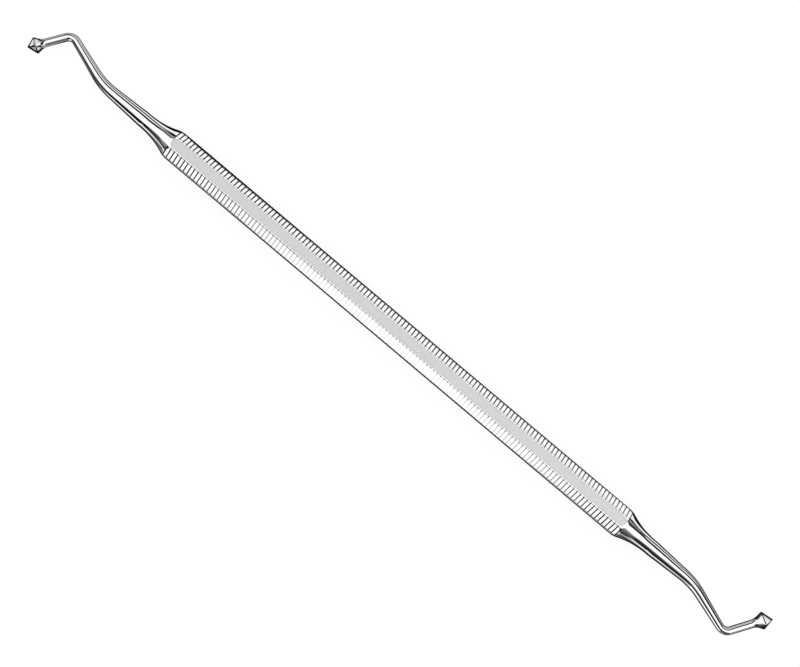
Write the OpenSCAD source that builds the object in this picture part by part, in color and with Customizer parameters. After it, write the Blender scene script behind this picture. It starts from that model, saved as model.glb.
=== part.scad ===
// Double-ended dental carver, one piece of polished stainless steel, in millimetres.
// X runs along the handle, +Z is up, and the carver lies on the bottom facet of its
// octagonal handle, with the two bent ends level. The origin is the middle of that facet.
// The blank is turned with a hollow shoulder at each end of the handle, eight flats are
// ground along it, four of the handle's flats are cross-grooved, and each shank is bent
// twice and ends in a flared neck with a four-sided point.

/* [Handle] */
// Across the flats of the octagonal handle
handle_af = 5.84; // [5.2:0.02:7]
// Length of the handle between its two shoulders
handle_l = 109; // [90:1:130]

/* [Serration] */
// Distance from one cross groove to the next
groove_pitch = 0.8235; // [0.7:0.0005:1.2]
// Width of a cross groove, measured at the facet
groove_w = 0.26; // [0.2:0.02:0.4]
// Depth of a cross groove below the facet
groove_d = 0.08; // [0.05:0.01:0.16]

/* [Panel] */
// Depth of the plain panel sunk in the top facet
panel_d = 0.06; // [0.04:0.01:0.1]
// Polished margin left on each side of the panel
panel_margin = 0.23; // [0.2:0.01:0.4]
// How far the panel runs past each end of the handle
panel_overrun = 0.3; // [0:0.05:0.4]

/* [Shoulder] */
// Length of the turned shoulder between the handle and a shank
shoulder_l = 6.6; // [5:0.1:9]
// Hollowness of the shoulder, where 1 is a plain cone
shoulder_hollow = 2.2; // [1.6:0.1:2.8]
// Length over which the shank's flats fade into the shoulder
runout_l = 3.2; // [2:0.1:4]

/* [Shank] */
// Across the flats where the shank leaves the shoulder
root_af = 3.24; // [2.6:0.02:3.6]
// Across the flats past the sharp bend, where the shank is thinnest
neck_af = 1.6; // [1.2:0.01:1.8]
// Hollowness of the shank's taper, where 1 is a straight taper
taper_hollow = 1.55; // [1:0.05:2]
// From the shoulder to the corner of the gentle bend
gentle_run = 10.75; // [9:0.05:14]
// Angle of the gentle bend, away from the point
gentle_deg = 18.7; // [10:0.1:30]
// Centreline radius of the gentle bend
gentle_r = 15.4; // [8:0.1:25]
// From the corner of the gentle bend to the corner of the sharp bend
sharp_run = 10.8; // [9:0.05:14]
// Angle of the sharp bend, back towards the point
sharp_deg = 75; // [60:0.5:90]
// Centreline radius of the sharp bend
sharp_r = 1.75; // [1.4:0.05:2.5]

/* [Small point] */
// From the corner of the sharp bend to the widest place of the small point
small_reach = 7.1; // [6:0.05:9]
// Across the corners of the small point
small_w = 3.04; // [2.4:0.02:3.6]
// Height of the small point's pyramid
small_h = 1.63; // [1.2:0.01:2.2]
// Length of the flare behind the small point
small_flare = 1.8; // [1.2:0.05:2.6]
// How far the small point's tip leans off the shank's line
small_lean = 0.1; // [0:0.02:0.5]

/* [Large point] */
// From the corner of the sharp bend to the widest place of the large point
large_reach = 7.75; // [6:0.05:9]
// Across the corners of the large point
large_w = 3.7; // [2.8:0.02:4.2]
// Height of the large point's pyramid
large_h = 1.98; // [1.4:0.01:2.6]
// Length of the flare behind the large point
large_flare = 2; // [1.4:0.05:2.8]
// How far the large point's tip leans off the shank's line
large_lean = 0.36; // [0:0.02:0.5]

/* [Both points] */
// Width of the band round the widest place of a point
rim_w = 0.25; // [0.1:0.05:0.4]

/* [Hidden] */

// Angle between neighbouring flats, and from a flat to its corner
flat_step = 360 / 8;
corner_turn = flat_step / 2;
// Heights of the handle's flats and corners from its own axis
handle_in = handle_af / 2;
handle_out = handle_in / cos(corner_turn);
facet_w = 2 * handle_in * tan(corner_turn);
// Radii of the shank, at its flats, at the shoulder and past the sharp bend
root_in = root_af / 2;
root_out = root_in / cos(corner_turn);
neck_in = neck_af / 2;
// Where the handle and its shoulders end, measured from the middle
handle_end = handle_l / 2;
shoulder_end = handle_end + shoulder_l;
// Stock left outside a corner, so that turned and ground faces never lie on each other
stock = 0.2;

// Grooves that fit on the handle, and one more at each end that only nicks the shoulder
groove_n = floor((handle_l - groove_w) / groove_pitch) + 2;
// Width of the panel, and its length over its two round ends
panel_w = facet_w - 2 * panel_margin;
panel_l = handle_l + 2 * panel_overrun;

// Number of steps round one end of the panel, and of stations along the shoulder, a
// gentle bend, a sharp bend and a flare
panel_steps = 16;
shoulder_steps = 10;
gentle_steps = 6;
sharp_steps = 9;
flare_steps = 5;
// How sharply the neck flares: higher keeps the shank thin for longer
flare_hollow = 1.7;
// How steeply the ground flats climb out of the shoulder
runout_hollow = 2.5;

// Distance taken up by half of a bend, from its corner to where it starts
function bend_half(r, deg) = r * tan(deg / 2);

gentle_half = bend_half(gentle_r, gentle_deg);
sharp_half = bend_half(sharp_r, sharp_deg);
// Straight stretches before, between and the length of each bend
first_leg = gentle_run - gentle_half;
second_leg = sharp_run - gentle_half - sharp_half;
gentle_arc = gentle_r * gentle_deg * PI / 180;
sharp_arc = sharp_r * sharp_deg * PI / 180;
// Length over which the shank tapers: up to the end of the sharp bend
taper_l = first_leg + gentle_arc + second_leg + sharp_arc;

// Height of the shank's flats at a distance along it from the shoulder
function flat_in(run) =
    neck_in + (root_in - neck_in) * pow(1 - min(run / taper_l, 1), taper_hollow);

// Radius of the turned shoulder at a distance from its thin end
function shoulder_out(back) =
    root_out + (handle_out - root_out) * pow(back / shoulder_l, shoulder_hollow);

// Height of the ground flats where they climb out of the shoulder: the shank's own taper
// carried on, and a rise that meets the turned surface one runout length back
taper_slope = (root_in - neck_in) * taper_hollow / taper_l;
runout_rise = shoulder_out(runout_l) - root_in - taper_slope * runout_l;
function runout_in(back) =
    root_in + taper_slope * back + runout_rise * pow(back / runout_l, runout_hollow);

// A pose on the centreline is [x, y, heading in degrees]
function ahead(pose, run) =
    [pose.x + run * cos(pose.z), pose.y + run * sin(pose.z), pose.z];

// The pose after a bend of radius r, where a positive turn is to the left
function bent(pose, r, turn) =
    let (side = sign(turn), heading = pose.z + turn)
    [pose.x + side * r * (sin(heading) - sin(pose.z)),
     pose.y - side * r * (cos(heading) - cos(pose.z)),
     heading];

// Corners of one cross-section: eight distances from the centreline, turned from the
// side of the shank towards the top, on the plane square to the centreline
function section(pose, radii, shift = 0) =
    [for (k = [0 : 7])
        let (turn = corner_turn + k * flat_step, aside = radii[k] * cos(turn) + shift)
        [pose.x + aside * sin(pose.z), pose.y - aside * cos(pose.z), radii[k] * sin(turn)]];

// Eight equal distances, for a regular octagon of the given height at its flats
function octagon(height) = [for (k = [0 : 7]) height / cos(corner_turn)];

// The same eight corners pulled to a square: every second one is a corner of the square
// and the others lie at the middle of its sides
function square_of(corner) = [for (k = [0 : 7]) k % 2 == 1 ? corner : corner * cos(flat_step)];

function blend(a, b, part) = [for (k = [0 : 7]) a[k] + (b[k] - a[k]) * part];

// Faces of a skin over sections of eight corners, closed with two flat ends
function skin_faces(n) = concat(
    [[for (k = [7 : -1 : 0]) k]],
    [for (i = [0 : n - 2], k = [0 : 7])
        let (a = 8 * i + k, b = 8 * i + (k + 1) % 8) each [[a, b + 8, a + 8], [a, b, b + 8]]],
    [[for (k = [0 : 7]) 8 * (n - 1) + k]]);

module skin(sections) {
    polyhedron(points = [for (s = sections, p = s) p], faces = skin_faces(len(sections)));
}

// Outline of the handle seen square to a pair of grooved facets, with its V grooves
module toothed_outline() {
    reach = shoulder_end + stock;
    notches = [for (i = [0 : groove_n - 1])
        let (x = (i - (groove_n - 1) / 2) * groove_pitch)
        each [[x - groove_w / 2, handle_in], [x, handle_in - groove_d], [x + groove_w / 2, handle_in]]];
    edge = concat([[-reach, handle_in]], notches, [[reach, handle_in]]);
    last = len(edge) - 1;
    polygon(concat(edge, [for (i = [last : -1 : 0]) [edge[i].x, -edge[i].y]]));
}

// A flat plate with that outline: its two toothed edges are a pair of opposite facets
module toothed_plate() {
    linear_extrude(height = 4 * handle_in, center = true) toothed_outline();
}

// The turned blank: a round bar that falls away along a hollow shoulder at each end
module turned_blank() {
    steps = [for (i = [0 : shoulder_steps]) i / shoulder_steps];
    shoulder = [for (part = steps) [shoulder_out(part * shoulder_l), shoulder_end - part * shoulder_l]];
    // The last slope is carried on through the handle's corners into the spare stock
    rise = (shoulder[shoulder_steps].x - shoulder[shoulder_steps - 1].x) * shoulder_steps / shoulder_l;
    brow = [handle_out + stock, handle_end - stock / rise];
    half = concat([[0, shoulder_end]], shoulder, [brow]);
    last = len(half) - 1;
    rotate([0, 90, 0])
        rotate_extrude($fn = 96)
            polygon(concat(half, [for (i = [last : -1 : 0]) [half[i].x, -half[i].y]]));
}

// The ground flats of both shanks, carried into the shoulders until they leave the metal
module ground_flats() {
    reach = 1.5 * runout_l;
    steps = [for (i = [0 : shoulder_steps]) reach * i / shoulder_steps];
    open = octagon(handle_out + stock);
    left = [for (back = steps) section([back - shoulder_end, 0, 0], octagon(runout_in(back)))];
    right = [for (i = [shoulder_steps : -1 : 0])
        section([shoulder_end - steps[i], 0, 0], octagon(runout_in(steps[i])))];
    inner = shoulder_end - reach - stock;
    skin(concat(left, [section([-inner, 0, 0], open), section([inner, 0, 0], open)], right));
}

// The octagonal handle with its shoulders: four plain flats and four toothed ones
module handle_bar() {
    intersection() {
        cube([2 * shoulder_end, handle_af, handle_af], center = true);
        rotate([flat_step, 0, 0]) toothed_plate();
        rotate([-flat_step, 0, 0]) toothed_plate();
        turned_blank();
        ground_flats();
    }
}

// One bent shank and its point. It starts at the shoulder's thin end, runs along +X,
// bends gently towards -Y, then sharply back towards +Y
module working_end(reach, width, height, flare, lean) {
    neck_run = reach - sharp_half - flare - rim_w / 2;
    p0 = [shoulder_end, 0, 0];
    p1 = ahead(p0, first_leg);
    p2 = bent(p1, gentle_r, -gentle_deg);
    p3 = ahead(p2, second_leg);
    p4 = bent(p3, sharp_r, sharp_deg);
    p5 = ahead(p4, neck_run);
    run2 = first_leg + gentle_arc;
    run3 = run2 + second_leg;
    corner = square_of(width / 2);
    shank = concat(
        [for (i = [0 : 3]) let (run = first_leg * i / 4)
            section(ahead(p0, run), octagon(flat_in(run)))],
        [for (i = [0 : gentle_steps - 1]) let (part = i / gentle_steps)
            section(bent(p1, gentle_r, -gentle_deg * part), octagon(flat_in(first_leg + gentle_arc * part)))],
        [for (i = [0 : 4]) let (run = second_leg * i / 5)
            section(ahead(p2, run), octagon(flat_in(run2 + run)))],
        [for (i = [0 : sharp_steps - 1]) let (part = i / sharp_steps)
            section(bent(p3, sharp_r, sharp_deg * part), octagon(flat_in(run3 + sharp_arc * part)))],
        [section(p4, octagon(neck_in))],
        [for (i = [0 : flare_steps]) let (part = i / flare_steps)
            section(ahead(p5, flare * part), blend(octagon(neck_in), corner, pow(part, flare_hollow)))],
        [section(ahead(p5, flare + rim_w), corner)]);
    n = len(shank);
    tip = section(ahead(p5, flare + rim_w / 2 + height), octagon(0), lean)[0];
    rim = 8 * (n - 1);
    polyhedron(
        points = concat([for (s = shank, p = s) p], [tip]),
        faces = concat(
            [for (i = [0 : len(skin_faces(n)) - 2]) skin_faces(n)[i]],
            [for (k = [0 : 7]) [rim + k, rim + (k + 1) % 8, 8 * n]]));
}

// The plain panel: a shallow recess with round ends, sunk in the top facet
module panel_recess() {
    round_end = panel_w / 2;
    straight = panel_l - panel_w;
    outline = [for (end = [1, -1], i = [0 : panel_steps])
        let (turn = 180 * i / panel_steps - 90)
        [end * (straight / 2 + round_end * cos(turn)), end * round_end * sin(turn)]];
    translate([0, 0, handle_in - panel_d])
        linear_extrude(height = panel_d + stock) polygon(outline);
}

module carver() {
    color("silver")
        translate([0, 0, handle_in])
            difference() {
                union() {
                    handle_bar();
                    working_end(large_reach, large_w, large_h, large_flare, large_lean);
                    rotate([0, 0, 180])
                        mirror([0, 0, 1])
                            working_end(small_reach, small_w, small_h, small_flare, small_lean);
                }
                panel_recess();
            }
}

carver();
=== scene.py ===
"""Looks of the dental carver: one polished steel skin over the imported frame, on a white table in a
small studio. The skin is one grid: rows run along the carver from the small point to the large
one, and columns run round its section. Lengths named in millimetres are turned into metres at the
end, when the grid becomes a mesh."""
import math

import bpy
import numpy as np
from mathutils import Matrix, Vector


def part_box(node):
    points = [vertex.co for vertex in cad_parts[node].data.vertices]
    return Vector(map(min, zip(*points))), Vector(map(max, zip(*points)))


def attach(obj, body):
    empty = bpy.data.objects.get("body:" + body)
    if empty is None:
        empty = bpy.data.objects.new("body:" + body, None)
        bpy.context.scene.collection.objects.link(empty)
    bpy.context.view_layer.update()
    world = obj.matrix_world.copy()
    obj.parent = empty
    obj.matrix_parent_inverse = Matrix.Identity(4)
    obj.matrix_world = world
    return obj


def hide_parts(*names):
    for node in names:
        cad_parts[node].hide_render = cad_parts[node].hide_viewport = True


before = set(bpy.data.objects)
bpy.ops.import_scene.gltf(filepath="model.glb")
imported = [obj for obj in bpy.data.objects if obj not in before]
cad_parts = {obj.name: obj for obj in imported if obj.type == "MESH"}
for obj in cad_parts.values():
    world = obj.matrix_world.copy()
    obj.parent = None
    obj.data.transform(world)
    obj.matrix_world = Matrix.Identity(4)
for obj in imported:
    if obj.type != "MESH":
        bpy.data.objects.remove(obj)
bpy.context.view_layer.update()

MM = 0.001
LOW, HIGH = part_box("carver")

# Handle, in millimetres: the octagon's width comes from the frame
HANDLE_AF = (HIGH.z - LOW.z) / MM
HANDLE_L = 109.0
FLAT_STEP = math.radians(45)
CORNER_TURN = FLAT_STEP / 2
HANDLE_IN = HANDLE_AF / 2
HANDLE_OUT = HANDLE_IN / math.cos(CORNER_TURN)
FACET_W = 2 * HANDLE_IN * math.tan(CORNER_TURN)
AXIS_Z = HANDLE_IN

# Cross grooves
GROOVE_PITCH = 0.8235
GROOVE_W = 0.26
GROOVE_D = 0.08
GROOVE_N = math.floor((HANDLE_L - GROOVE_W) / GROOVE_PITCH) + 2

# Satin panel in the top facet
PANEL_D = 0.06
PANEL_MARGIN = 0.23
PANEL_OVERRUN = 0.3
PANEL_HALF_W = FACET_W / 2 - PANEL_MARGIN
PANEL_HALF_L = HANDLE_L / 2 + PANEL_OVERRUN
PANEL_WALL = 0.02
PANEL_RIM = 0.02

# Turned shoulder
SHOULDER_L = 6.6
SHOULDER_HOLLOW = 2.2
RUNOUT_L = 3.2
RUNOUT_HOLLOW = 2.5
HANDLE_END = HANDLE_L / 2
SHOULDER_END = HANDLE_END + SHOULDER_L

# Shank
ROOT_IN = 3.24 / 2
ROOT_OUT = ROOT_IN / math.cos(CORNER_TURN)
NECK_IN = 1.6 / 2
TAPER_HOLLOW = 1.55
GENTLE_RUN, GENTLE_TURN, GENTLE_R = 10.75, math.radians(18.7), 15.4
SHARP_RUN, SHARP_TURN, SHARP_R = 10.8, math.radians(75), 1.75
GENTLE_HALF = GENTLE_R * math.tan(GENTLE_TURN / 2)
SHARP_HALF = SHARP_R * math.tan(SHARP_TURN / 2)
GENTLE_ARC = GENTLE_R * GENTLE_TURN
SHARP_ARC = SHARP_R * SHARP_TURN
FIRST_LEG = GENTLE_RUN - GENTLE_HALF
SECOND_LEG = SHARP_RUN - GENTLE_HALF - SHARP_HALF
TAPER_L = FIRST_LEG + GENTLE_ARC + SECOND_LEG + SHARP_ARC
TAPER_SLOPE = (ROOT_IN - NECK_IN) * TAPER_HOLLOW / TAPER_L

# Points: reach from the sharp corner, width across corners, height of the pyramid, length of the
# flare, and how far the tip leans off the shank's line
SMALL_POINT = {"reach": 7.1, "width": 3.04, "height": 1.63, "flare": 1.8, "lean": 0.1}
LARGE_POINT = {"reach": 7.75, "width": 3.7, "height": 1.98, "flare": 2.0, "lean": 0.36}
RIM_W = 0.25
FLARE_HOLLOW = 1.7

# How far the polishing wheel has taken the edges back, as lengths that set their rounding, for the
# eight edges in turn: from the one over the -Y side, across the top, down the +Y side and back
# under the carver. The shanks are polished much rounder than the handle, and most of all at +Y
HANDLE_SOFT = (0.08, 0.035, 0.025, 0.16, 0.05, 0.03, 0.03, 0.05)
SMALL_SHANK_SOFT = (0.17, 0.13, 0.20, 0.20, 0.15, 0.12, 0.12, 0.15)
LARGE_SHANK_SOFT = (0.17, 0.20, 0.20, 0.20, 0.15, 0.12, 0.12, 0.15)
POINT_SOFT = (0.09,) * 8
# Width of the dark line of painted shade along the four corners of each point, which are every
# second one of the eight edges. The small end's are counted before its half turn
SMALL_SHADE_LINE = (0.05, 0.85, 0.05, 0.38)
LARGE_SHADE_LINE = (0.05, 0.60, 0.05, 0.50)
# What a place far from any such line counts as, in line widths
OFF_SHADE_LINE = 9.0

# Columns over half a facet, as shares of its half angle, and the same for the two facets that
# need columns for the panel's rim
PLAIN_STEPS = (0.4, 0.75, 0.89, 0.965)
PANEL_STEPS = (0.25, 0.5, 0.75, 0.89, 0.965)
TOP_FACET = 2
# Distance of the rows kept on each side of an edge that crosses the grid, and of a groove's edge
EDGE_ROW = 0.03
GROOVE_EDGE = 0.01
# Rows round the panel's ends, just inside and outside them, and down the brow and slope of a
# shoulder. Rows closer than the last value are dropped
ROUND_ROWS, BROW_ROWS, SLOPE_ROWS = 16, 18, 36
BROW_L = 0.7
PANEL_END_IN, PANEL_END_OUT = 0.001, 0.006
ROW_STEP = 0.006
# Rows along the five stretches of a shank, along the flare, and up the pyramid as shares
LEG_ROWS = (9, 14, 6, 20, 6)
FLARE_ROWS = 14
PYRAMID_ROWS = (0.02, 0.1, 0.3, 0.5, 0.7, 0.85, 0.95)

# How strongly the grooves are marked at places along X, on the -Y side's facets and on the +Y
# side's: painted shade darkens them, with their duller finish, and both fade in the middle of the
# handle
GROOVE_FINISH_AND_SHADE_X = (-50, -37, -20, 15, 37, 50)
GROOVE_FINISH_AND_SHADE_NEAR = (1.0, 0.7, 0.15, 0.1, 0.5, 1.0)
GROOVE_FINISH_AND_SHADE_FAR = (1.0, 1.0, 0.8, 0.5, 0.6, 0.6)
# Share of the panel's satin finish that the handle's two plain side facets have
SIDE_SATIN = 0.6

# Steel: its tone, how much darker the painted shade lines on the points, the grooves with their
# painted shade and the satin are, and how wide the shade line is and where it has faded out, in line
# widths
STEEL_TONE = 0.8
SHADE_LINE_DARK, GROOVE_SHADE_DARK, SATIN_DARK = 0.77, 0.78, 0.14
SHADE_LINE_EDGE, SHADE_LINE_END = 0.9, 1.4
# Roughness of the polish between its wheel marks and in them, and what grooves and satin add
POLISH_ROUGH = (0.03, 0.06)
GROOVE_ROUGH, SATIN_ROUGH = 0.16, 0.38
EDGE_TINT = 0.1

# Camera: where the photograph was taken from
CAMERA_AIM = (0.27, 0.30)
CAMERA_RANGE = 335.0
CAMERA_TILT = math.radians(6.5)
CAMERA_LENS_PX = 1800.0
SENSOR_W = 36.0
IMAGE_W = 800.0
IMAGE_ANGLE = math.radians(40.15)

# Light tunnel, in metres: it runs along X, round the handle's axis. A profile is a row of pairs of
# an elevation in degrees and a strength, and holds at one place along the tunnel
TUNNEL_R = 0.9
TUNNEL_HALF_L = 1.5
TUNNEL_ROWS = 121
TUNNEL_STEP = 0.5
FAR_SMALL_SHOULDER = ((2, 1.2), (7, 0.4), (10, 0.0), (32, 0.0), (37, 0.1), (44, 0.4), (51, 0.4),
                      (55, 0.1), (62, 0.1), (66, 0.5), (70, 1.35))
FAR_SMALL_BEND = ((-1, 0.1), (13, 0.05), (18, 0.8), (34, 0.8), (40, 0.4), (50, 0.5), (54, 0.0),
                  (68, 0.0), (74, 1.35))
FAR_SHANK = ((1, 1.35), (3, 0.0), (20, 0.0), (24, 1.2), (43, 1.2), (47, 0.0), (69, 0.0), (73, 1.35))
FAR_LARGE_BEND = ((-1, 0.5), (3, 0.0), (10, 0.1), (20, 0.35), (30, 0.3), (36, 0.0), (64, 0.0),
                  (70, 0.8), (75, 1.35))
FAR_LARGE_SHOULDER = ((1, 1.1), (4, 0.0), (17, 0.0), (25, 0.15), (33, 0.4), (43, 0.3), (50, 0.05),
                      (64, 0.0), (69, 0.4), (74, 1.35))
NEAR_SMALL_SHOULDER = ((6, 0.0), (10, 0.1), (14, 0.3), (38, 0.33), (43, 0.5), (49, 1.35))
NEAR_SMALL_BEND = ((-1, 0.1), (14, 0.06), (32, 0.03), (38, 0.2), (48, 0.4), (60, 0.7), (68, 1.3))
NEAR_SMALL = ((2, 1.35), (4, 0.0), (30, 0.0), (35, 0.3), (48, 0.6), (60, 1.0), (66, 1.35))
NEAR_SMALL_HANDLE = ((11, 1.35), (13, 0.0), (30, 0.0), (35, 0.3), (48, 0.6), (60, 1.0), (66, 1.35))
NEAR_LARGE_BEND = ((24, 1.35), (27, 0.0), (60, 0.0), (68, 0.3), (76, 1.3))
NEAR_LARGE_HANDLE = ((11, 1.35), (13, 0.03), (42, 0.0), (54, 0.1), (64, 0.35), (72, 0.7), (80, 1.35))
NEAR_LARGE = ((5, 1.35), (7, 0.05), (42, 0.0), (54, 0.1), (64, 0.35), (72, 0.7), (80, 1.35))
NEAR_LARGE_SHOULDER = ((9, 0.0), (13, 0.12), (30, 0.1), (50, 0.24), (62, 0.4), (68, 0.9), (74, 1.35))
FAR_TUNNEL = ((-0.8, FAR_SMALL_SHOULDER), (-0.6, FAR_SMALL_BEND), (-0.45, FAR_SHANK),
              (0.42, FAR_SHANK), (0.5, FAR_LARGE_BEND), (0.62, FAR_LARGE_BEND),
              (0.7, FAR_LARGE_SHOULDER))
NEAR_TUNNEL = ((-0.9, NEAR_SMALL_SHOULDER), (-0.7, NEAR_SMALL_BEND), (-0.45, NEAR_SMALL_BEND),
               (-0.35, NEAR_SMALL), (-0.26, NEAR_SMALL), (-0.22, NEAR_SMALL_HANDLE),
               (-0.1, NEAR_SMALL_HANDLE), (0.0, NEAR_LARGE_BEND), (0.15, NEAR_LARGE_BEND),
               (0.2, NEAR_LARGE_HANDLE), (0.22, NEAR_LARGE_HANDLE),
               (0.26, NEAR_LARGE), (0.6, NEAR_LARGE), (0.75, NEAR_LARGE_SHOULDER))

# Brighter overhead light towards the large end: the greatest gain, the distance along X at which
# it is reached, and the elevation at which it starts and the rise over which it grows
OVERHEAD_GAIN, OVERHEAD_RUN = 0.45, 0.4
OVERHEAD_START, OVERHEAD_GROWTH = 76, 4

# Table top as the steel reflects it, in metres. A profile is a row of pairs of a distance from the
# handle's axis and a strength, and holds at one place along X. Under the handle there is some light
UNDER = ((0.002, 0.6), (0.003, 0.0))
FAR_TABLE = (
    (-0.096, ((0.014, 0.0), (0.018, 1.3))),
    (-0.086, ((0.016, 0.0), (0.024, 0.8), (0.03, 1.3))),
    (-0.080, ((0.015, 0.0), (0.020, 1.3))),
    (-0.066, ((0.0145, 0.0), (0.0175, 1.3))),
    (-0.058, ((0.013, 0.0), (0.017, 1.3))),
    (-0.055, ((0.021, 0.0), (0.036, 1.3))),
    (-0.047, UNDER + ((0.021, 0.0), (0.036, 1.3))),
    (-0.019, UNDER + ((0.016, 0.0), (0.030, 1.3))),
    (0.019, UNDER + ((0.014, 0.0), (0.027, 1.3))),
    (0.047, UNDER + ((0.014, 0.0), (0.024, 1.3))),
    (0.058, ((0.012, 0.0), (0.016, 1.3))),
    (0.066, ((0.015, 0.0), (0.019, 1.3))),
    (0.076, ((0.020, 0.0), (0.028, 1.3))),
    (0.083, ((0.020, 0.0), (0.032, 1.3))),
    (0.090, ((0.001, 0.03), (0.006, 0.2), (0.012, 0.5), (0.018, 0.0), (0.035, 1.0))),
    (0.096, ((0.02, 0.05), (0.026, 0.8), (0.033, 1.2))))
TABLE_SPOT = ((0.005, 0.0), (0.009, 1.3), (0.020, 1.3), (0.026, 0.05), (0.08, 0.05), (0.1, 1.3))
TABLE_OPEN = ((0.006, 0.0), (0.011, 1.3))
NEAR_TABLE = (
    (-0.135, ((0.012, 0.0), (0.014, 1.2), (0.0185, 1.2), (0.0205, 0.0), (0.12, 0.0), (0.2, 0.1))),
    (-0.100, ((0.02, 0.03), (0.05, 0.03), (0.1, 0.4), (0.2, 1.2))),
    (-0.0885, ((0.02, 0.03), (0.05, 0.3), (0.07, 1.0), (0.1, 1.3))),
    (-0.086, ((0.0045, 0.0), (0.0055, 1.2), (0.0085, 1.2), (0.010, 0.0), (0.018, 0.05),
              (0.04, 0.5), (0.06, 1.3))),
    (-0.083, ((0.014, 0.0), (0.026, 1.0), (0.05, 1.3))),
    (-0.080, ((0.002, 0.0), (0.003, 1.2), (0.0045, 1.2), (0.0055, 0.0), (0.015, 0.0),
              (0.026, 1.0), (0.05, 1.3))),
    (-0.076, ((0.009, 0.0), (0.012, 0.1), (0.018, 1.2))),
    (-0.0715, ((0.009, 0.0), (0.0135, 0.3), (0.0165, 0.9), (0.020, 0.8), (0.0245, 0.8),
               (0.03, 1.3))),
    (-0.066, ((0.0135, 0.0), (0.0165, 0.45), (0.020, 1.1), (0.024, 1.3))),
    (-0.061, ((0.010, 0.0), (0.014, 0.2), (0.017, 0.3), (0.022, 0.35), (0.026, 0.1),
              (0.1, 0.05))),
    (-0.058, TABLE_SPOT),
    (-0.042, UNDER + TABLE_SPOT),
    (-0.035, UNDER + TABLE_OPEN),
    (0.035, UNDER + TABLE_OPEN),
    (0.042, UNDER + TABLE_SPOT),
    (0.055, TABLE_SPOT),
    (0.061, ((0.010, 0.0), (0.015, 0.1), (0.02, 0.05), (0.06, 0.05))),
    (0.066, ((0.013, 0.0), (0.0165, 0.1), (0.020, 0.3), (0.0245, 0.6), (0.030, 0.9),
             (0.038, 1.3))),
    (0.0715, ((0.010, 0.0), (0.013, 0.4), (0.0165, 0.7), (0.021, 0.6), (0.030, 0.6),
              (0.038, 1.3))),
    (0.076, ((0.021, 0.0), (0.030, 0.8), (0.04, 1.3))),
    (0.082, ((0.004, 0.5), (0.014, 0.1), (0.03, 0.8))),
    (0.092, ((0.003, 0.0), (0.007, 0.3), (0.011, 0.03), (0.06, 0.03), (0.1, 1.0))),
    (0.11, ((0.1, 0.02), (0.18, 0.3), (0.22, 1.0))))
# Grid of those sheets: fine steps out to a distance along X and away from the handle, then one
# long step to the edge. They lie just over the table top, which lies just under the carver
SHADE_LONG, SHADE_LONG_STEP = 0.16, 0.0025
SHADE_WIDE, SHADE_WIDE_STEP = 0.12, 0.001
SHADE_EDGE = 0.4
SHADE_LIFT = 5e-5
TABLE_HALF = 3.0
TABLE_DROP = 2e-5

# Upright cards that only the steel sees: name, place along X, span in Y, span in Z and strength
CARDS = (("gap_small_end", -1.45, (-0.9, 0.9), (0.25, 0.65), 0.0),
         ("gap_large_end", 1.45, (-0.9, 0.9), (0.25, 0.65), 0.0),
         ("patch_small_end", -0.35, (-0.30, -0.02), (0.0, 0.04), 0.05))


def place_camera():
    """Puts the camera above the carver, leaning a little towards -Y, and rolls it so that +X
    runs down to the right in the picture by IMAGE_ANGLE."""
    aim = Vector((*CAMERA_AIM, AXIS_Z)) * MM
    back = Vector((0, -math.sin(CAMERA_TILT), math.cos(CAMERA_TILT)))
    along = Vector((1, 0, 0))
    across = back.cross(along)
    right = along * math.cos(IMAGE_ANGLE) + across * math.sin(IMAGE_ANGLE)
    up = back.cross(right)
    data = bpy.data.cameras.new("camera")
    data.sensor_width = SENSOR_W
    data.lens = CAMERA_LENS_PX / IMAGE_W * SENSOR_W
    data.clip_start = 0.01
    data.clip_end = 10
    camera = bpy.data.objects.new("camera", data)
    bpy.context.scene.collection.objects.link(camera)
    turn = Matrix((right, up, back)).transposed()
    camera.matrix_world = Matrix.Translation(aim + back * CAMERA_RANGE * MM) @ turn.to_4x4()
    bpy.context.scene.camera = camera


def flat_height(run):
    """Height of the shank's flats over its centreline: the neck's height, plus the root's excess
    over it times a power of the share of the taper that is still ahead."""
    ahead = 1 - np.clip(run / TAPER_L, 0, 1)
    return NECK_IN + (ROOT_IN - NECK_IN) * ahead ** TAPER_HOLLOW


def shoulder_radius(back):
    """Radius of the turned shoulder at a distance from its thin end: the root's radius, plus a
    power of that distance which reaches the handle's corners after one shoulder length."""
    return ROOT_OUT + (HANDLE_OUT - ROOT_OUT) * (back / SHOULDER_L) ** SHOULDER_HOLLOW


def runout_height(back):
    """Height of the ground flats where they climb out of the shoulder: the shank's own taper
    carried on, plus a power that meets the turned surface after one runout length."""
    rise = shoulder_radius(RUNOUT_L) - ROOT_IN - TAPER_SLOPE * RUNOUT_L
    return ROOT_IN + TAPER_SLOPE * back + rise * (back / RUNOUT_L) ** RUNOUT_HOLLOW


def groove_depth(x):
    """Depth of the cross grooves along the handle: a row of V shapes, each falling in a straight
    line from its edge to its middle."""
    middle = (GROOVE_N - 1) / 2
    nearest = np.clip(np.round(x / GROOVE_PITCH + middle), 0, GROOVE_N - 1)
    off = np.abs(x - (nearest - middle) * GROOVE_PITCH)
    return GROOVE_D * np.clip(1 - off / (GROOVE_W / 2), 0, 1)


def panel_half_width(x):
    """Half width of the panel along the handle: constant, then a half circle at each end."""
    past = np.clip(np.abs(x) - (PANEL_HALF_L - PANEL_HALF_W), 0, PANEL_HALF_W)
    return np.sqrt(PANEL_HALF_W ** 2 - past ** 2)


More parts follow.
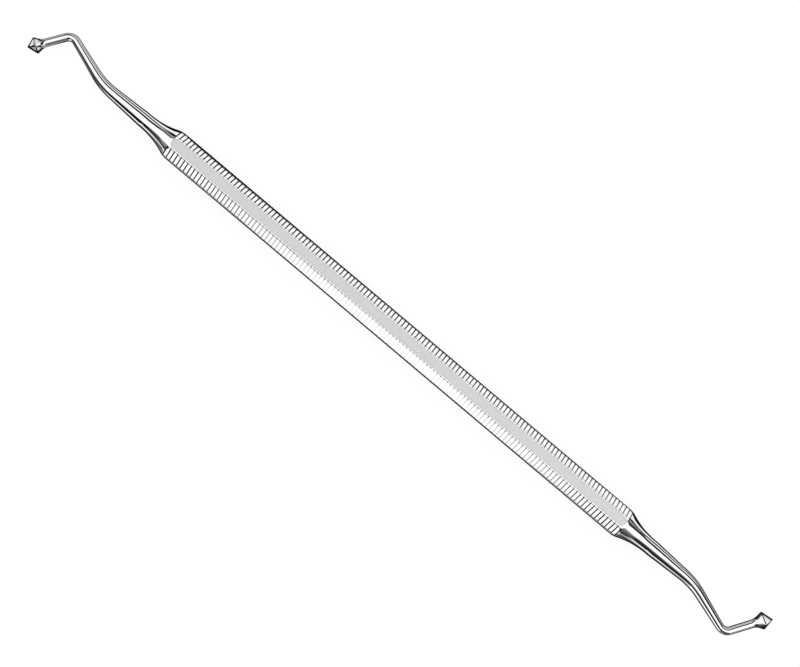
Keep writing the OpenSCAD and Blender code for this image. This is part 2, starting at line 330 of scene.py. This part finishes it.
def column_layout():
    """Facet and share of every column round the section. A share runs from -1 at one corner of a
    facet to 1 at the next, and the corner at 1 is counted with the facet."""
    facets, shares = [], []
    for facet in range(8):
        steps = PANEL_STEPS if facet % 4 == TOP_FACET else PLAIN_STEPS
        row = [-s for s in reversed(steps)] + [0.0] + list(steps) + [1.0]
        facets += [facet] * len(row)
        shares += row
    return np.array(facets), np.array(shares)


FACETS, SHARES = column_layout()
COLUMNS = len(SHARES)
PLAIN_ANGLES = (FACETS + SHARES / 2) * FLAT_STEP


def softness(angles, first, second, share):
    """Softness of the edges at each angle round each section: read between the eight edges, and
    blended from the first set to the second by each row's share."""
    edges = CORNER_TURN + np.arange(8) * FLAT_STEP
    one, two = (np.interp(angles, edges, edge, period=2 * math.pi) for edge in (first, second))
    return one + (two - one) * share[:, None]


def cut_radius(angles, normals, heights, turned, soft):
    """Distance from the centreline to the metal at each angle round each section. A ray meets a
    flat at height / cos(angle - normal) and the turned surface at its radius. The result is a soft
    minimum of these: their reciprocals are raised to a high power, added and brought back, which
    rounds each edge. The power is the section's height over the softness of the edges there, and
    the whole is let out again by as much as its neighbours take off the middle of a flat."""
    power = heights.min(axis=1)[:, None] / soft
    reach = np.cos(angles[:, :, None] - normals[:, None, :]) / heights[:, None, :]
    logs = np.log(np.maximum(reach, 1e-3))
    logs = np.concatenate([logs, np.repeat(-np.log(turned)[:, None, None], angles.shape[1], 1)], 2)
    most = logs.max(axis=2)
    total = np.exp(power[:, :, None] * (logs - most[:, :, None])).sum(axis=2)
    regain = np.log1p(2 * math.cos(FLAT_STEP) ** power) / power
    return np.exp(regain - most - np.log(total) / power)


def handle_stations():
    """Places along the handle and its shoulders where a row is needed: one on each side of both
    edges and of the bottom of every groove, rows that close in on the round ends of the panel, and
    rows down the shoulders."""
    middles = (np.arange(GROOVE_N) - (GROOVE_N - 1) / 2) * GROOVE_PITCH
    lines = np.array([-GROOVE_W / 2, 0, GROOVE_W / 2])
    beside = (lines[:, None] + np.array([-GROOVE_EDGE, GROOVE_EDGE])).ravel()
    teeth = (middles[:, None] + beside).ravel()
    swing = np.linspace(0, math.pi / 2, ROUND_ROWS)
    round_end = PANEL_HALF_L - PANEL_HALF_W * (1 - np.sin(swing))
    panel_end = [PANEL_HALF_L - PANEL_END_IN, PANEL_HALF_L + PANEL_END_OUT]
    brow = np.linspace(HANDLE_END, HANDLE_END + BROW_L, BROW_ROWS)
    slope = np.linspace(HANDLE_END + BROW_L, SHOULDER_END, SLOPE_ROWS)
    half = np.concatenate([round_end[:-1], panel_end, brow, slope])
    x = np.sort(np.concatenate([teeth, half, -half]))
    keep = np.concatenate([[True], np.diff(x) > ROW_STEP])
    return x[keep]


def handle_rows():
    """Grid of the handle and both shoulders, with its satin and groove shares. Each section is the
    octagon's flats, lowered by the grooves on the four slanted ones, and the turned shoulder. On
    the top facet the columns close in on the panel's outline, and those inside it sink. The two
    side facets have a share of the panel's satin finish, short of their rounded edges."""
    x = handle_stations()
    rows = len(x)
    back = np.maximum(SHOULDER_END - np.abs(x), 0)
    flats = np.minimum(HANDLE_IN, runout_height(back))
    depth = groove_depth(x)
    slanted = np.arange(8) % 2
    heights = flats[:, None] - depth[:, None] * slanted
    normals = np.repeat((np.arange(8) * FLAT_STEP)[None], rows, 0)

    angles = np.repeat(PLAIN_ANGLES[None], rows, 0)
    width = panel_half_width(x)
    inside = np.abs(x) < PANEL_HALF_L
    outline = np.stack([np.maximum(width - PANEL_WALL - PANEL_RIM, width * 0.4),
                        np.maximum(width - PANEL_WALL, width * 0.7),
                        width, width + PANEL_RIM], axis=1)
    turn = np.arctan2(outline, HANDLE_IN)
    for step, share in enumerate(PANEL_STEPS[:-1]):
        for side in (1, -1):
            column = np.flatnonzero((FACETS == TOP_FACET) & (SHARES == side * share))[0]
            angles[inside, column] = (TOP_FACET * FLAT_STEP + side * turn[:, step])[inside]
    sunk = (FACETS == TOP_FACET) & (np.abs(SHARES) <= PANEL_STEPS[1])
    satin = inside[:, None] & sunk[None]

    out = 1 - np.clip(back / SHOULDER_L, 0, 1)
    soft = np.where((x > 0)[:, None], softness(angles, HANDLE_SOFT, LARGE_SHANK_SOFT, out),
                    softness(angles, HANDLE_SOFT, SMALL_SHANK_SOFT, out))
    radius = cut_radius(angles, normals, heights, shoulder_radius(back), soft)
    radius = radius * (1 - satin * PANEL_D / HANDLE_IN)
    grid = np.stack([np.repeat(x[:, None], COLUMNS, 1),
                     -radius * np.cos(angles), radius * np.sin(angles)], axis=2)
    side = (FACETS % 4 == 0) & (np.abs(SHARES) <= PLAIN_STEPS[1])
    satin = np.maximum(satin, SIDE_SATIN * side[None] * (np.abs(x) < HANDLE_END)[:, None])
    # How strongly each groove is marked: the painted shade that darkens it and its duller finish, less
    # in the middle of the handle
    finish_and_shade_along_x = np.where(np.sin(2 * angles) > 0, np.interp(x, GROOVE_FINISH_AND_SHADE_X, GROOVE_FINISH_AND_SHADE_NEAR)[:, None],
                    np.interp(x, GROOVE_FINISH_AND_SHADE_X, GROOVE_FINISH_AND_SHADE_FAR)[:, None])
    groove_finish_and_shade = finish_and_shade_along_x * (depth[:, None] > 0) * (FACETS % 2 == 1)[None] * (np.abs(SHARES) < 1)[None]
    return grid, satin, groove_finish_and_shade


def centreline(run, neck_l):
    """Follows a shank from its shoulder: straight, a gentle bend away, straight, a sharp bend back
    and straight again. Each stretch adds its own share of the run, and a bend of signed radius R
    adds R times the change of the heading's sine along X, and of minus its cosine along Y."""
    stretches = ((FIRST_LEG, 0), (GENTLE_ARC, -GENTLE_TURN), (SECOND_LEG, 0),
                 (SHARP_ARC, SHARP_TURN), (neck_l, 0))
    x, y, heading = np.full_like(run, SHOULDER_END), np.zeros_like(run), np.zeros_like(run)
    start, aim = 0.0, 0.0
    for length, turn in stretches:
        part = np.clip(run - start, 0, length)
        if turn:
            swing, radius = turn * part / length, length / turn
            x += radius * (np.sin(aim + swing) - math.sin(aim))
            y -= radius * (np.cos(aim + swing) - math.cos(aim))
            heading += swing
        else:
            x += part * math.cos(aim)
            y += part * math.sin(aim)
        start, aim = start + length, aim + turn
    return x, y, heading


def sides_through(corners):
    """Normal angle and height of the eight sides between neighbouring corners, each given by its
    distance from the centreline. Side k joins corner k - 1 to corner k."""
    turn = CORNER_TURN + np.arange(8) * FLAT_STEP
    point = corners[:, :, None] * np.stack([np.cos(turn), np.sin(turn)], axis=1)[None]
    side = point - np.roll(point, 1, axis=1)
    normal = np.stack([side[:, :, 1], -side[:, :, 0]], axis=2)
    normal /= np.linalg.norm(normal, axis=2, keepdims=True)
    return np.arctan2(normal[:, :, 1], normal[:, :, 0]), (normal * point).sum(axis=2)


def corner_shade_lines(grid, flared, widths):
    """How far each place on a point is from the nearest corner of its own ring, in widths of the
    painted shade line along that corner. It is divided by a share that grows in a straight line from
    next to nothing to one between a sixth and a half of the way along the flare, so that the lines fade
    in there."""
    corners = grid[:, SHARES == 1]
    nearest = np.full(grid.shape[:2], OFF_SHADE_LINE)
    for edge, width in zip(range(1, 8, 2), widths):
        away = np.linalg.norm(grid - corners[:, edge, None], axis=2)
        nearest = np.minimum(nearest, away / width)
    return np.minimum(nearest / np.clip(3 * flared - 0.5, 0.01, 1)[:, None], OFF_SHADE_LINE)


def end_rows(point, shank_soft, widths):
    """Grid of one bent shank and its point, from the shoulder to the last ring under the apex, the
    apex itself, and the distance from the point's corners. The section's corners blend from the
    neck's octagon to a square over the flare, as a power of the way along it, and the pyramid's
    rings shrink in a straight line towards an apex that leans off the shank's line."""
    neck_l = point["reach"] - SHARP_HALF - point["flare"] - RIM_W / 2
    bends = np.cumsum([0, FIRST_LEG, GENTLE_ARC, SECOND_LEG, SHARP_ARC, neck_l])
    legs = [np.linspace(a, b, n, endpoint=False) for a, b, n in zip(bends[:-1], bends[1:], LEG_ROWS)]
    flare = bends[-1] + point["flare"] * np.append(np.linspace(0, 1, FLARE_ROWS, endpoint=False),
                                                   1 - EDGE_ROW / point["flare"])
    girth = bends[-1] + point["flare"]
    rim = girth + np.array([0, EDGE_ROW, RIM_W / 2, RIM_W - EDGE_ROW, RIM_W])
    run = np.concatenate(legs + [flare, rim])[1:]
    x, y, heading = centreline(run, girth + RIM_W - bends[-2])

    part = np.clip((run - bends[-1]) / point["flare"], 0, 1)[:, None] ** FLARE_HOLLOW
    eight = np.repeat(flat_height(run)[:, None] / math.cos(CORNER_TURN), 8, 1)
    # Four sides meet in a soft corner of the square, and it is let out by what that takes off
    regain = 4 ** (POINT_SOFT[0] / (point["width"] / 2 * math.cos(FLAT_STEP)))
    square = regain * point["width"] / 2 * np.where(np.arange(8) % 2 == 1, 1, math.cos(FLAT_STEP))
    normals, heights = sides_through(eight * (1 - part) + square[None] * part)
    angles = np.repeat(PLAIN_ANGLES[None], len(run), 0)
    soft = softness(angles, shank_soft, POINT_SOFT, part[:, 0])
    radius = cut_radius(angles, normals, heights, ROOT_OUT + run, soft)
    aside, up = radius * np.cos(angles), radius * np.sin(angles)
    grid = np.stack([x[:, None] + aside * np.sin(heading)[:, None],
                     y[:, None] - aside * np.cos(heading)[:, None], up], axis=2)

    aim = heading[-1]
    forward = np.array([math.cos(aim), math.sin(aim), 0])
    aside = np.array([math.sin(aim), -math.cos(aim), 0])
    apex = np.array([x[-1], y[-1], 0]) + forward * (point["height"] - RIM_W / 2) + aside * point["lean"]
    slope = np.array(PYRAMID_ROWS)[:, None, None]
    grid = np.concatenate([grid, grid[-1:] + (apex - grid[-1:]) * slope])
    flared = np.append((run - bends[-1]) / point["flare"], np.ones(len(slope)))
    return grid, apex, corner_shade_lines(grid, np.clip(flared, 0, 1), widths)


def carver_grid():
    """The whole grid, from the small point to the large one, with its two apexes, the shares of
    satin and of the grooves with their painted shade, and the distance from the painted shade lines on
    the points. The small end is worked out like the large one and turned through the handle's centre:
    its rows are read backwards, its columns move on by half a turn, and every coordinate changes its
    sign."""
    middle, satin, groove_finish_and_shade = handle_rows()
    large, large_apex, large_shade_line = end_rows(LARGE_POINT, LARGE_SHANK_SOFT, LARGE_SHADE_LINE)
    small, small_apex, small_shade_line = end_rows(SMALL_POINT, np.roll(SMALL_SHANK_SOFT, 4), SMALL_SHADE_LINE)
    small = -np.roll(small, COLUMNS // 2, axis=1)[::-1]
    small_shade_line = np.roll(small_shade_line, COLUMNS // 2, axis=1)[::-1]
    # Distance from the painted shade lines along the points' corners; the handle is far from them
    line = np.concatenate([small_shade_line, np.full(satin.shape, OFF_SHADE_LINE), large_shade_line])
    grid = np.concatenate([small, middle, large])
    pad = ((len(small), len(large)), (0, 0))
    return grid, -small_apex, large_apex, {"satin": np.pad(satin, pad), "groove": np.pad(groove_finish_and_shade, pad),
                                           "line": line}


def grid_normals(grid):
    """Normals of a closed grid: the cross product of the step to the next row less the step back,
    and the same for the columns. A long step counts more than a short one, so flats stay flat and
    the narrow strips along their edges take up the turn."""
    along = np.concatenate([grid[1:], grid[-1:]]) - np.concatenate([grid[:1], grid[:-1]])
    around = np.roll(grid, -1, axis=1) - np.roll(grid, 1, axis=1)
    normal = np.cross(along, around)
    return normal / np.linalg.norm(normal, axis=2, keepdims=True)


def skin_mesh(name, grid, first_apex, last_apex, shares):
    """Turns a closed grid and its two apexes into a mesh object, with smooth normals and one
    attribute for each named share. Quads join the rows, and a fan of triangles closes each end."""
    rows, columns = grid.shape[:2]
    number = np.arange(rows * columns).reshape(rows, columns)
    after = np.roll(number, -1, axis=1)
    quads = np.stack([number[:-1], number[1:], after[1:], after[:-1]], axis=2).reshape(-1, 4)
    first, last = rows * columns, rows * columns + 1
    head = np.stack([np.full(columns, first), number[0], after[0]], axis=1)
    tail = np.stack([np.full(columns, last), after[-1], number[-1]], axis=1)
    points = np.concatenate([grid.reshape(-1, 3), [first_apex, last_apex]])
    points[:, 2] += AXIS_Z
    mesh = bpy.data.meshes.new(name)
    mesh.from_pydata((points * MM).tolist(), [], quads.tolist() + head.tolist() + tail.tolist())
    mesh.polygons.foreach_set("use_smooth", np.ones(len(mesh.polygons), bool))
    ends = np.stack([first_apex - grid[0].mean(0), last_apex - grid[-1].mean(0)])
    ends /= np.linalg.norm(ends, axis=1, keepdims=True)
    normals = np.concatenate([grid_normals(grid).reshape(-1, 3), ends])
    mesh.normals_split_custom_set_from_vertices(normals.tolist())
    for share, values in shares.items():
        layer = mesh.attributes.new(share, "FLOAT", "POINT")
        layer.data.foreach_set("value", np.append(values.ravel(), [0, 0]).astype(np.float32))
    piece = bpy.data.objects.new(name, mesh)
    bpy.context.scene.collection.objects.link(piece)
    return piece


def node(tree, kind, inputs=None, **settings):
    """Adds one shader node. A setting is an attribute of the node, and an input is a plain value
    or the output of another node."""
    made = tree.nodes.new(kind)
    for key, value in settings.items():
        setattr(made, key, value)
    for key, value in (inputs or {}).items():
        if isinstance(value, bpy.types.NodeSocket):
            tree.links.new(value, made.inputs[key])
        else:
            made.inputs[key].default_value = value
    return made


def maths(tree, operation, *values):
    """Output of a Math node on plain values or other outputs."""
    return node(tree, "ShaderNodeMath", dict(enumerate(values)), operation=operation).outputs[0]


def new_material(name):
    """An empty material with its output node."""
    material = bpy.data.materials.new(name)
    material.use_nodes = True
    material.node_tree.nodes.clear()
    return material, material.node_tree, material.node_tree.nodes.new("ShaderNodeOutputMaterial")


def polished_steel():
    """Mirror polished stainless steel. Faint wheel marks change the roughness, the panel is
    blasted to a fine satin with a fine grain and the side facets to a lighter one, the grooves
    keep the duller finish of the cutter and are darkened by painted shade, and a line of painted
    shade runs dark along the corners of the points. Roughness is the polish plus its share of
    groove and satin, and the tone is the steel's less its share of each."""
    material, tree, output = new_material("polished_steel")
    place = node(tree, "ShaderNodeTexCoord").outputs["Object"]
    satin = node(tree, "ShaderNodeAttribute", attribute_name="satin").outputs["Fac"]
    groove_finish_and_shade = node(tree, "ShaderNodeAttribute", attribute_name="groove").outputs["Fac"]
    streaks = node(tree, "ShaderNodeMapping", {"Vector": place, "Scale": (60, 900, 900)})
    marks = node(tree, "ShaderNodeTexNoise", {"Vector": streaks.outputs[0], "Scale": 6.0,
                                              "Detail": 3.0})
    polish = node(tree, "ShaderNodeMapRange", {"Value": marks.outputs[0],
                                               "From Min": 0.3, "From Max": 0.7,
                                               "To Min": POLISH_ROUGH[0],
                                               "To Max": POLISH_ROUGH[1]}).outputs[0]
    duller = maths(tree, "MULTIPLY_ADD", groove_finish_and_shade, GROOVE_ROUGH, polish)
    rough = maths(tree, "MULTIPLY_ADD", satin, SATIN_ROUGH, duller)
    grain = node(tree, "ShaderNodeTexNoise", {"Vector": place, "Scale": 9000.0, "Detail": 2.0})
    height = maths(tree, "MULTIPLY", grain.outputs[0], satin)
    bump = node(tree, "ShaderNodeBump", {"Height": height, "Strength": 0.25, "Distance": 0.00002})
    # Painted shade: a dark line along the corners of the points, by distance from them in line widths
    away = node(tree, "ShaderNodeAttribute", attribute_name="line").outputs["Fac"]
    shade_line_tone = node(tree, "ShaderNodeMapRange", {"Value": away,
                                              "From Min": SHADE_LINE_EDGE, "From Max": SHADE_LINE_END,
                                              "To Min": SHADE_LINE_DARK, "To Max": 0.0}).outputs[0]
    tone_after_shade_line = maths(tree, "SUBTRACT", STEEL_TONE, shade_line_tone)
    # Painted shade in the grooves darkens their tone
    tone_after_groove_shade = maths(tree, "MULTIPLY_ADD", groove_finish_and_shade, -GROOVE_SHADE_DARK, tone_after_shade_line)
    tone = maths(tree, "MULTIPLY_ADD", satin, -SATIN_DARK, tone_after_groove_shade)
    colour = node(tree, "ShaderNodeCombineColor", {"Red": tone, "Green": tone, "Blue": tone})
    steel = node(tree, "ShaderNodeBsdfPrincipled", {"Roughness": rough, "Normal": bump.outputs[0],
                                                    "Base Color": colour.outputs[0],
                                                    "Metallic": 1.0,
                                                    "Specular Tint": (*(EDGE_TINT,) * 3, 1)})
    tree.links.new(steel.outputs[0], output.inputs["Surface"])
    return material


def card_material(name, strength):
    """Plain light of one strength, from black to white."""
    material, tree, output = new_material(name)
    glow = node(tree, "ShaderNodeEmission", {"Color": (1, 1, 1, 1), "Strength": strength})
    tree.links.new(glow.outputs[0], output.inputs["Surface"])
    return material


def table_material():
    """White table top. To the camera and in reflections it is a plain white that still takes a
    little of the carver's shadow, and for the rest it is white paint."""
    material, tree, output = new_material("white_table")
    paths = node(tree, "ShaderNodeLightPath").outputs
    mirrored = maths(tree, "MAXIMUM", paths["Is Glossy Ray"], paths["Is Transmission Ray"])
    seen = maths(tree, "MAXIMUM", paths["Is Camera Ray"], mirrored)
    paint = node(tree, "ShaderNodeBsdfDiffuse", {"Color": (0.8, 0.8, 0.8, 1)})
    veil = node(tree, "ShaderNodeBsdfDiffuse", {"Color": (0.12, 0.12, 0.12, 1)})
    glow = node(tree, "ShaderNodeEmission", {"Color": (1, 1, 1, 1), "Strength": 0.9})
    both = node(tree, "ShaderNodeAddShader", {0: veil.outputs[0], 1: glow.outputs[0]})
    mix = node(tree, "ShaderNodeMixShader", {0: seen, 1: paint.outputs[0], 2: both.outputs[0]})
    tree.links.new(mix.outputs[0], output.inputs["Surface"])
    return material


def stage_mesh(name, points, faces, material):
    """A flat or bent sheet of the studio, in metres, that isn't part of the carver."""
    mesh = bpy.data.meshes.new(name)
    mesh.from_pydata(np.asarray(points, float).tolist(), [], np.asarray(faces).tolist())
    mesh.materials.append(material)
    sheet = bpy.data.objects.new(name, mesh)
    bpy.context.scene.collection.objects.link(sheet)
    return sheet


def only_reflected(sheet):
    """Lets a sheet show in reflections and nowhere else, like a card just out of the picture."""
    sheet.visible_camera = False
    sheet.visible_diffuse = False
    sheet.visible_transmission = False
    sheet.visible_shadow = False


def shade_material():
    """Light of the strength that the sheet's own attribute gives."""
    material, tree, output = new_material("shaded_light")
    shade = node(tree, "ShaderNodeAttribute", attribute_name="strength").outputs["Fac"]
    glow = node(tree, "ShaderNodeEmission", {"Color": (1, 1, 1, 1), "Strength": shade})
    tree.links.new(glow.outputs[0], output.inputs["Surface"])
    return material


def profile_strength(profiles, x, across):
    """Strength at each place along X and each elevation or distance: read off every profile, then
    blended in a straight line between the two nearest places that have one."""
    places = [place for place, _ in profiles]
    rows = np.array([np.interp(across, *zip(*profile)) for _, profile in profiles])
    return np.array([np.interp(x, places, column) for column in rows.T]).T


def shaded_sheet(name, points, strength, material):
    """A sheet of the studio on a grid of points, whose light varies from point to point."""
    number = np.arange(strength.size).reshape(strength.shape)
    faces = np.stack([number[:-1, :-1], number[1:, :-1], number[1:, 1:], number[:-1, 1:]], 2)
    sheet = stage_mesh(name, points.reshape(-1, 3), faces.reshape(-1, 4), material)
    layer = sheet.data.attributes.new("strength", "FLOAT", "POINT")
    layer.data.foreach_set("value", strength.ravel().astype(np.float32))
    only_reflected(sheet)


def light_tunnel(material):
    """A half tube over the table from horizon to horizon, in two halves: a place stands off the
    handle's axis by the radius times the cosine of its elevation, and over it by the radius times
    the sine. Soft boxes overhead and at the horizon, grey walls and black gaps run along it, and
    the gaps draw the dark lines on the steel."""
    x = np.linspace(-TUNNEL_HALF_L, TUNNEL_HALF_L, TUNNEL_ROWS)
    rise = np.arange(-1, 90.01, TUNNEL_STEP)
    high = np.clip((rise - OVERHEAD_START) / OVERHEAD_GROWTH, 0, 1)
    gain = OVERHEAD_GAIN * high[None] * np.clip(x / OVERHEAD_RUN, 0, 1)[:, None]
    gx, gt = np.meshgrid(x, np.radians(rise), indexing="ij")
    aside, up = TUNNEL_R * np.cos(gt), TUNNEL_R * np.sin(gt) + AXIS_Z * MM
    for name, side, profiles in (("tunnel_far", 1, FAR_TUNNEL), ("tunnel_near", -1, NEAR_TUNNEL)):
        shaded_sheet(name, np.stack([gx, side * aside, up], 2),
                     profile_strength(profiles, x, rise) + gain, material)


def table_shade(material):
    """The table top as the steel reflects it, in two flat halves on a grid of places along X and
    distances from it: black beside the carver, where its own shade and the camera's lie, and full
    white further out."""
    fine = np.arange(-SHADE_LONG, SHADE_LONG + SHADE_LONG_STEP / 2, SHADE_LONG_STEP)
    x = np.concatenate([[-SHADE_EDGE], fine, [SHADE_EDGE]])
    away = np.append(np.arange(0, SHADE_WIDE + SHADE_WIDE_STEP / 2, SHADE_WIDE_STEP), SHADE_EDGE)
    for name, side, profiles in (("table_far", 1, FAR_TABLE), ("table_near", -1, NEAR_TABLE)):
        gx, gy = np.meshgrid(x, side * away, indexing="ij")
        shaded_sheet(name, np.stack([gx, gy, np.full(gx.shape, SHADE_LIFT)], 2),
                     profile_strength(profiles, x, away), material)


def upright_card(name, x, across, heights, strength):
    """An upright rectangle that faces along X."""
    (y0, y1), (z0, z1) = across, heights
    points = [(x, y0, z0), (x, y1, z0), (x, y1, z1), (x, y0, z1)]
    only_reflected(stage_mesh(name, points, [(0, 1, 2, 3)], card_material(name, strength)))


def studio():
    """White world and white table for the camera and for plain light, and the light tunnel, the
    table's shade and a few cards for what the steel reflects."""
    world = bpy.data.worlds.new("studio")
    bpy.context.scene.world = world
    world.use_nodes = True
    world.node_tree.nodes["Background"].inputs["Color"].default_value = (1, 1, 1, 1)
    bpy.context.scene.view_settings.view_transform = "Standard"

    corners = [(TABLE_HALF * x, TABLE_HALF * y, -TABLE_DROP)
               for x, y in ((-1, -1), (1, -1), (1, 1), (-1, 1))]
    stage_mesh("table", corners, [(0, 1, 2, 3)], table_material())
    shaded = shade_material()
    table_shade(shaded)
    light_tunnel(shaded)
    for card in CARDS:
        upright_card(*card)


def steel_carver():
    """The carver itself, in place of its plain solid."""
    grid, first_apex, last_apex, shares = carver_grid()
    piece = skin_mesh("polished_carver", grid, first_apex, last_apex, shares)
    piece.data.materials.append(polished_steel())
    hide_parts("carver")
    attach(piece, "root")


place_camera()
studio()
steel_carver()
